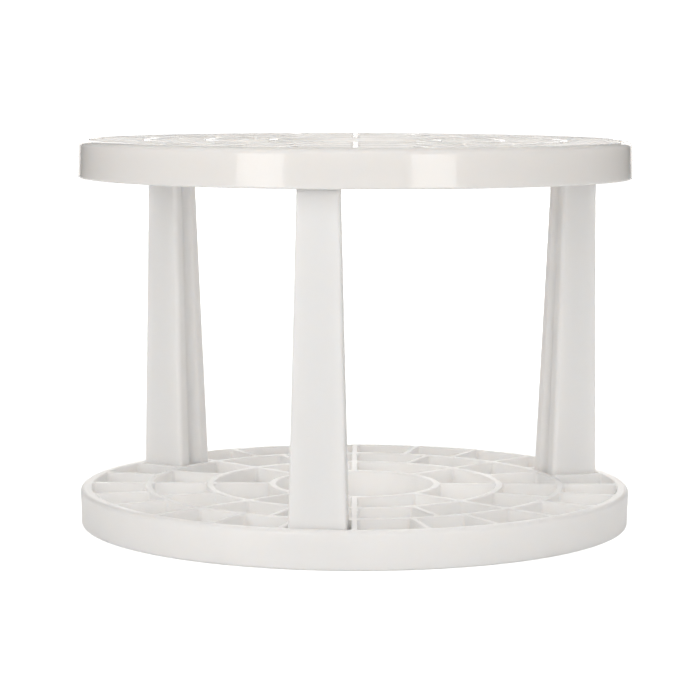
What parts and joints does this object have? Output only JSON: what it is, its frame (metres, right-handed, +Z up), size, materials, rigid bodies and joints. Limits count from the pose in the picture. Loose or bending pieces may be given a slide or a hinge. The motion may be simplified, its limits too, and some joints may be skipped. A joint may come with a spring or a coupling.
{
  "type": "paint rack organizer",
  "caption": "Round two-tier desk rack: a floored tray of cells below, an open grid of the same cells above, held apart by three tapered legs, for brushes and small bottles.",
  "frame": {"origin": "centre of the underside of the base tray, where the rack stands", "axes": "+Z up through both tiers, from the tray to the grid; -Y is the side with the front leg"},
  "size_m": [0.16, 0.16, 0.1112],
  "materials": {
    "tray_plastic": "semi-gloss",
    "grid_plastic": "gloss",
    "leg_plastic": "satin"
  },
  "bodies": {
    "root": {"base_tray": "tray_plastic", "top_grid": "grid_plastic", "leg_front": "leg_plastic", "leg_back_right": "leg_plastic", "leg_back_left": "leg_plastic"}
  },
  "joints": []
}
